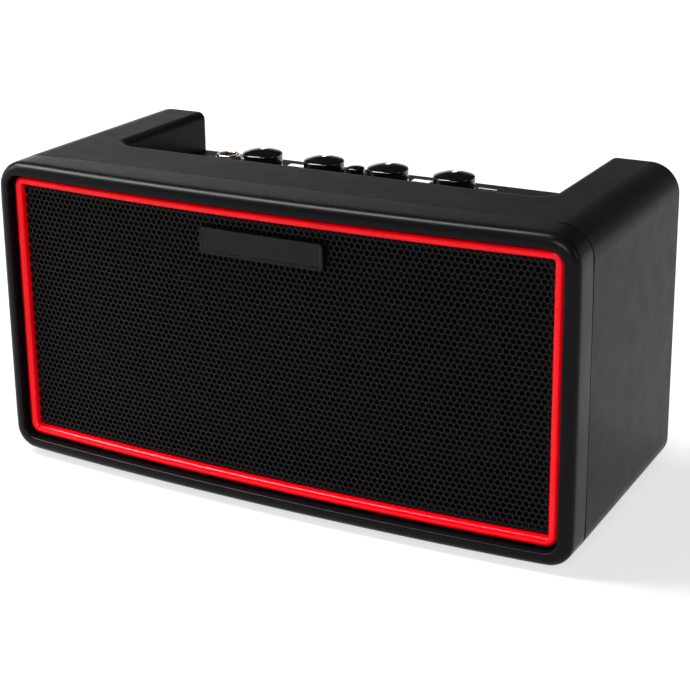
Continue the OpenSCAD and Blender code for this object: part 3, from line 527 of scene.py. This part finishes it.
def dome_outline(radius, height, dome, steps=12):
    """Outline of a low spherical dome, from its middle to its rim."""
    ball = (radius ** 2 + dome ** 2) / (2 * dome)
    span = math.asin(radius / ball)
    return [(ball * math.sin(span * i / steps), height - ball + ball * math.cos(span * i / steps))
            for i in range(steps + 1)]


for knob_name in knob_names:
    low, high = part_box("knob_" + knob_name)
    shaft_low, shaft_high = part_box("shaft_" + knob_name)
    centre = middle_of(low, high)
    radius = (high.x - low.x) / 2
    dome_radius = radius - rim_round
    dome = dome_outline(dome_radius, high.z, dome_height)
    shaft_radius = (shaft_high.x - shaft_low.x) / 2 + 0.02 * mm
    shaft_end = shaft_high.z + 0.05 * mm
    hollow_top = low.z + hollow_depth
    side = rounded([dome[-1], (radius, dome[-1][1] - rim_drop), (radius, low.z), (hollow_radius, low.z),
                    (hollow_radius, hollow_top), (shaft_radius, hollow_top), (shaft_radius, shaft_end),
                    (0, shaft_end)], 0.3 * mm, 3)
    bm = bmesh.new()
    lathe(bm, [Vector(p) for p in dome[:-1]] + side, centre, steps=96)
    knob = turned_piece(bm, "control_knob_" + knob_name)
    fit_piece(knob, "knob_" + knob_name, "knob_plastic", knob_plastic, "knob_" + knob_name)

    bm = bmesh.new()
    bmesh.ops.create_grid(bm, x_segments=3, y_segments=10, size=0.5)
    bmesh.ops.scale(bm, verts=bm.verts, vec=(pointer_width, pointer_end - pointer_start, 1))
    bmesh.ops.translate(bm, verts=bm.verts, vec=(0, (pointer_end + pointer_start) / 2, 0))
    ball = (dome_radius ** 2 + dome_height ** 2) / (2 * dome_height)
    for vert in bm.verts:
        reach = math.hypot(vert.co.x, vert.co.y)
        vert.co.z = high.z - ball + math.sqrt(ball ** 2 - reach ** 2) + pointer_lift
        vert.co.x += centre.x
        vert.co.y += centre.y
    bmesh.ops.solidify(bm, geom=bm.faces[:], thickness=pointer_thickness)
    bmesh.ops.recalc_face_normals(bm, faces=bm.faces)
    pointer = finished_piece(bm, "knob_pointer_" + knob_name)
    fit_piece(pointer, "knob_" + knob_name, "knob_plastic", pointer_ink)


# ---- Push button ----
# A small round gloss button with a low domed top, between the second and third knob. Its flange
# stops it under the panel.

low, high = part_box("select_button")
flange_radius = (high.x - low.x) / 2
flange_width = 1.2 * mm
flange_thickness = 1.0 * mm
button_dome = 0.5 * mm
button_edge = 0.3 * mm
edge_drop = 0.25 * mm
button_radius = flange_radius - flange_width
flange_top = low.z + flange_thickness
dome = dome_outline(button_radius - button_edge, high.z, button_dome, 8)
side = rounded([dome[-1], (button_radius, dome[-1][1] - edge_drop), (button_radius, flange_top),
                (flange_radius, flange_top), (flange_radius, low.z), (0, low.z)], 0.2 * mm, 3)
bm = bmesh.new()
lathe(bm, [Vector(p) for p in dome[:-1]] + side, middle_of(low, high))
button = turned_piece(bm, "push_button")
fit_piece(button, "select_button", "knob_plastic", knob_plastic, "select_button")


# ---- Input jack ----
# A 6.35 mm jack with a threaded brass bush, held from above by a nickel washer and hexagon nut.
# The bush ends in a rolled nickel rim.

finish_node("input_jack", bare_metal("threaded brass", (0.62, 0.36, 0.14), 0.22, 0.15))
nickel = bare_metal("bright nickel", (0.88, 0.85, 0.81), 0.17)
low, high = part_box("jack_washer")
jack_centre = middle_of(low, high)
washer_radius = (high.x - low.x) / 2
washer_middle = (low.z + high.z) / 2
bush_hole = 4.55 * mm
bm = bmesh.new()
ring = rounded([(bush_hole, washer_middle), (bush_hole, high.z), (washer_radius, high.z),
                (washer_radius, low.z), (bush_hole, low.z), (bush_hole, washer_middle)], 0.15 * mm, 3)
lathe(bm, ring, jack_centre)
washer = turned_piece(bm, "nickel_washer")
fit_piece(washer, "cabinet", "nickel", nickel, "jack_washer")

low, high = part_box("jack_nut")
nut_flats = (high.y - low.y) / 2
nut_corner = nut_flats / math.cos(math.radians(30))
chamfer = 0.45 * mm
chamfer_drop = 1.3 * mm
nut_top_radius = nut_flats - 0.5 * mm
nut_middle = (low.z + high.z) / 2


def joined(base, other, way):
    """The result of a boolean between two objects, as the first object's mesh; the second goes."""
    cut = base.modifiers.new("joined", "BOOLEAN")
    cut.operation = way
    cut.solver = "EXACT"
    cut.object = other
    view_state = bpy.context.evaluated_depsgraph_get()
    view_state.update()
    base.data = bpy.data.meshes.new_from_object(base.evaluated_get(view_state))
    base.modifiers.clear()
    bm = bmesh.new()
    bm.from_mesh(base.data)
    bmesh.ops.dissolve_degenerate(bm, dist=weld, edges=bm.edges)
    bm.to_mesh(base.data)
    bm.free()
    bpy.data.objects.remove(other)


bm = bmesh.new()
bmesh.ops.create_cone(bm, cap_ends=True, segments=6, radius1=nut_corner, radius2=nut_corner,
                      depth=high.z - low.z)
turn_to_flats = Matrix.Rotation(math.radians(30), 3, "Z")
bmesh.ops.rotate(bm, verts=bm.verts, cent=(0, 0, 0), matrix=turn_to_flats)
if max(v.co.y for v in bm.verts) > nut_flats * 1.05:
    bmesh.ops.rotate(bm, verts=bm.verts, cent=(0, 0, 0), matrix=turn_to_flats)
bmesh.ops.translate(bm, verts=bm.verts, vec=jack_centre + Vector((0, 0, nut_middle)))
nut = finished_piece(bm, "nickel_nut")
bm = bmesh.new()
shape = rounded([(bush_hole, nut_middle), (bush_hole, high.z), (nut_top_radius, high.z),
                 (nut_corner, high.z - chamfer_drop), (nut_corner * 1.1, low.z - chamfer),
                 (bush_hole, low.z - chamfer), (bush_hole, nut_middle)], 0.6 * mm, 5)
lathe(bm, shape, jack_centre)
bmesh.ops.remove_doubles(bm, verts=bm.verts, dist=weld)
bmesh.ops.recalc_face_normals(bm, faces=bm.faces)
joined(nut, finished_piece(bm, "nut_chamfer"), "INTERSECT")
for face in nut.data.polygons:
    face.use_smooth = abs(face.normal.z) > 0.15
fit_piece(nut, "cabinet", "nickel", nickel, "jack_nut")

# Rolled nickel rim round the bush's mouth
bush_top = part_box("input_jack")[1].z
rim_bore = 3.27 * mm
rim_outer = 4.6 * mm
rim_inner = rim_outer - 0.15 * mm
rim_foot = high.z + 0.02 * mm
rim_top = bush_top + 0.3 * mm
rim_lip = bush_top - 0.1 * mm
bm = bmesh.new()
ring = rounded([(rim_inner, rim_foot), (rim_outer, rim_foot), (rim_outer, rim_top), (rim_bore, rim_top),
                (rim_bore, rim_lip), (rim_inner, rim_lip), (rim_inner, rim_foot)], 0.35 * mm, 5)
lathe(bm, ring, jack_centre)
fit_piece(turned_piece(bm, "bush_rim"), "cabinet", "nickel", nickel)


# ---- Rear panel ----
# A moulded panel screwed into the shell's back with six screws. The bass port, the sockets and the
# power switch look out through it, and the main board stands on its posts inside.

rear_plastic = satin_plastic("rear plastic", (0.0050, 0.0049, 0.0058), 0.4, level=0.09)
finish_node("rear_panel", rear_plastic)
finish_node("main_board", solder_mask)
finish_node("main_board_screws", black_zinc)
capacitor_sleeve = satin_plastic("capacitor sleeve", (0.02, 0.035, 0.09), 0.3, edge=0.2 * mm)
finish_node("capacitors", capacitor_sleeve)
finish_node("heat_sink", bare_metal("sink aluminium", (0.62, 0.63, 0.64), 0.35, 0.3))
finish_node("usb_socket", tinned_steel)
finish_node("aux_socket", switch_plastic)
finish_node("phones_socket", switch_plastic)
finish_node("power_rocker", knob_plastic)
finish_node("rocker_housing", rear_plastic)

# Rear screws: black pan heads with a cross recess
screw_low, screw_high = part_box("rear_screws")
head_radius = 2.6 * mm
head_height = 1.5 * mm
shank_radius = 1.2 * mm
cross_length = 2.6 * mm
cross_width = 0.55 * mm
screw_length = screw_high.y - screw_low.y
shank_length = screw_high.y - head_height - screw_low.y
span_x = (screw_low.x + head_radius, (screw_low.x + screw_high.x) / 2, screw_high.x - head_radius)
span_z = (screw_low.z + head_radius, screw_high.z - head_radius)
screw = rounded([(0, 0), (shank_radius, 0), (shank_radius, shank_length), (head_radius, shank_length),
                 (head_radius, screw_length), (0, screw_length)], 0.5 * mm, 4)
lay_to_rear = Matrix.Rotation(math.radians(-90), 3, "X")
bm = bmesh.new()
lathe(bm, screw, steps=32)
bmesh.ops.remove_doubles(bm, verts=bm.verts, dist=weld)
bmesh.ops.rotate(bm, verts=bm.verts, cent=(0, 0, 0), matrix=lay_to_rear)
bmesh.ops.translate(bm, verts=bm.verts, vec=(span_x[0], screw_low.y, span_z[0]))
copy_along(bm, Vector((span_x[1] - span_x[0], 0, 0)), len(span_x))
copy_along(bm, Vector((0, 0, span_z[1] - span_z[0])), len(span_z))
bmesh.ops.recalc_face_normals(bm, faces=bm.faces)
screws = finished_piece(bm, "rear_screw_set")
for wide, tall in ((cross_length, cross_width), (cross_width, cross_length)):
    bm = bmesh.new()
    for x in span_x:
        for z in span_z:
            made = bmesh.ops.create_cube(bm, size=1)["verts"]
            bmesh.ops.scale(bm, verts=made, vec=(wide, 2 * mm, tall))
            bmesh.ops.translate(bm, verts=made, vec=(x, screw_high.y, z))
    joined(screws, finished_piece(bm, "cross_recess"), "DIFFERENCE")
fit_piece(screws, "cabinet", "screw_steel", black_zinc, "rear_screws")


# ---- Bass port ----
# A moulded tube with a rounded mouth that lets the cabinet's air out at the back. It is pressed
# through the rear panel from outside.

port_low, port_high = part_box("bass_port")
port_centre = Vector(((port_low.x + port_high.x) / 2, 0, (port_low.z + port_high.z) / 2))
bore_middle = port_low.y + 5 * mm
mouth_radius = (port_high.x - port_low.x) / 2
bore_radius = 11 * mm
tube_radius = 12.8 * mm
mouth_front = 50.05 * mm
bm = bmesh.new()
tube = rounded([(bore_radius, bore_middle), (bore_radius, port_high.y), (mouth_radius, port_high.y),
                (mouth_radius, mouth_front), (tube_radius, mouth_front), (tube_radius, port_low.y),
                (bore_radius, port_low.y), (bore_radius, bore_middle)], 0.9 * mm, 5)
lathe(bm, tube, steps=72)
bmesh.ops.rotate(bm, verts=bm.verts, cent=(0, 0, 0), matrix=lay_to_rear)
bmesh.ops.translate(bm, verts=bm.verts, vec=port_centre)
port = turned_piece(bm, "port_tube")
port_plastic = satin_plastic("port plastic", (0.0060, 0.0058, 0.0068), 0.36, level=0.15)
fit_piece(port, "cabinet", "black_plastic", port_plastic, "bass_port")


# ---- Battery ----
# Two round cells in blue sleeves, side by side in a moulded tray. The tray is glued to the
# cabinet's floor.

finish_node("battery_tray", rear_plastic)
finish_node("battery_cells", satin_plastic("cell sleeve", (0.06, 0.2, 0.45), 0.3, edge=0.3 * mm))


# ---- Studio ----
# A pale floor whose glow is painted lower near the amplifier, a painted shade round it, and a dim
# surround that glows near the horizon, lit by four soft lamps: a long one above at the left, a low one on
# either side, and a wide one in front.

floor_half = 6.0
near_glow_painted_shade = 0.66
near_reach = 0.3
far_lift = 1.0
far_reach = 1.3
bm = bmesh.new()
bmesh.ops.create_grid(bm, x_segments=1, y_segments=1, size=floor_half)
studio_floor = finished_piece(bm, "studio_floor")
floor_paint, shader, add = new_finish("floor paint")
tree = floor_paint.node_tree
shader.inputs["Roughness"].default_value = 0.9
shader.inputs["Specular IOR Level"].default_value = 0.1
shader.inputs["Base Color"].default_value = (0.25, 0.25, 0.25, 1)
seen = add("ShaderNodeLightPath")
sees = add("ShaderNodeMath", {0: seen.outputs["Is Camera Ray"], 1: seen.outputs["Is Glossy Ray"]},
           operation="MAXIMUM")
sees = add("ShaderNodeMath", {0: sees.outputs["Value"], 1: seen.outputs["Is Transmission Ray"]},
           operation="MAXIMUM")
spot = add("ShaderNodeTexCoord")
reach = add("ShaderNodeVectorMath", {0: spot.outputs["Object"]}, operation="LENGTH")
# Painted shade: the floor's glow is held lower close to the amplifier and rises to full white farther off.
glow_with_painted_shade = add("ShaderNodeMapRange", {"Value": reach.outputs["Value"], "From Min": near_reach,
                                        "From Max": far_reach, "To Min": near_glow_painted_shade, "To Max": far_lift})
lift = add("ShaderNodeMath", {0: sees.outputs["Value"], 1: glow_with_painted_shade.outputs["Result"]},
           operation="MULTIPLY")
tree.links.new(lift.outputs["Value"], shader.inputs["Emission Strength"])
shader.inputs["Emission Color"].default_value = (1, 1, 1, 1)
studio_floor.data.materials.append(floor_paint)

# The surround glows near the horizon, most at the left, and is dark above it, as in a small tent
world = bpy.data.worlds.new("studio surround")
bpy.context.scene.world = world
world.use_nodes = True
world_nodes = world.node_tree.nodes
direction = world_nodes.new("ShaderNodeTexCoord")
along = world_nodes.new("ShaderNodeSeparateXYZ")
world.node_tree.links.new(direction.outputs["Generated"], along.inputs["Vector"])


def world_range(way, start, end, low, high):
    """A value that goes from low to high as a direction's component goes from start to end."""
    ramp = world_nodes.new("ShaderNodeMapRange")
    world.node_tree.links.new(along.outputs[way], ramp.inputs["Value"])
    for key, value in (("From Min", start), ("From Max", end), ("To Min", low), ("To Max", high)):
        ramp.inputs[key].default_value = value
    return ramp.outputs["Result"]


horizon_fade = (0.2, 0.28)
side_fade = (-0.66, -0.33)
glow_left = 1.2
glow_right = 0.36
glow_above = 0.015
glow = world_nodes.new("ShaderNodeMath")
glow.operation = "MULTIPLY_ADD"
world.node_tree.links.new(world_range("Z", *horizon_fade, 1.0, 0.0), glow.inputs[0])
world.node_tree.links.new(world_range("X", *side_fade, glow_left, glow_right), glow.inputs[1])
glow.inputs[2].default_value = glow_above
world.node_tree.links.new(glow.outputs["Value"], world_nodes["Background"].inputs["Strength"])
world_nodes["Background"].inputs["Color"].default_value = (1, 1, 1, 1)


lamp_aim = Vector((0, 0, 0.06))


def soft_lamp(name, place, width, height, power):
    """A rectangular studio lamp aimed at the amplifier's middle."""
    lamp = bpy.data.lights.new(name, "AREA")
    lamp.shape = "RECTANGLE"
    lamp.size = width
    lamp.size_y = height
    lamp.energy = power
    holder = bpy.data.objects.new(name, lamp)
    bpy.context.scene.collection.objects.link(holder)
    holder.location = place
    holder.rotation_mode = "QUATERNION"
    holder.rotation_quaternion = (lamp_aim - Vector(place)).to_track_quat("-Z", "Y")


soft_lamp("top_lamp", (-0.62, -0.15, 1.1), width=0.4, height=0.95, power=34)
soft_lamp("left_lamp", (-1.2, -0.45, 0.6), width=0.4, height=0.5, power=6)
soft_lamp("right_lamp", (1.3, 0.05, 0.55), width=0.4, height=0.5, power=2)
soft_lamp("front_lamp", (0.6, -1.5, 1.0), width=1.0, height=0.6, power=24)

# Camera: a long lens in front and to the right, looking a little down on the amplifier
camera_place = Vector((284.66, -513.77, 265.34)) * mm
camera_yaw = math.radians(28.454)
camera_pitch = math.radians(16.820)
camera_roll = math.radians(-0.672)
camera_data = bpy.data.cameras.new("camera")
camera_data.sensor_width = 36
camera_data.lens = 86.82
camera_data.shift_y = -0.1522
camera_data.clip_start = 0.01
camera_data.clip_end = 50
camera = bpy.data.objects.new("camera", camera_data)
bpy.context.scene.collection.objects.link(camera)
camera.location = camera_place
camera.rotation_mode = "QUATERNION"
camera.rotation_quaternion = (Matrix.Rotation(camera_yaw, 4, "Z")
                              @ Matrix.Rotation(math.radians(90) - camera_pitch, 4, "X")
                              @ Matrix.Rotation(camera_roll, 4, "Z")).to_quaternion()
bpy.context.scene.camera = camera
bpy.context.scene.view_settings.view_transform = "Standard"
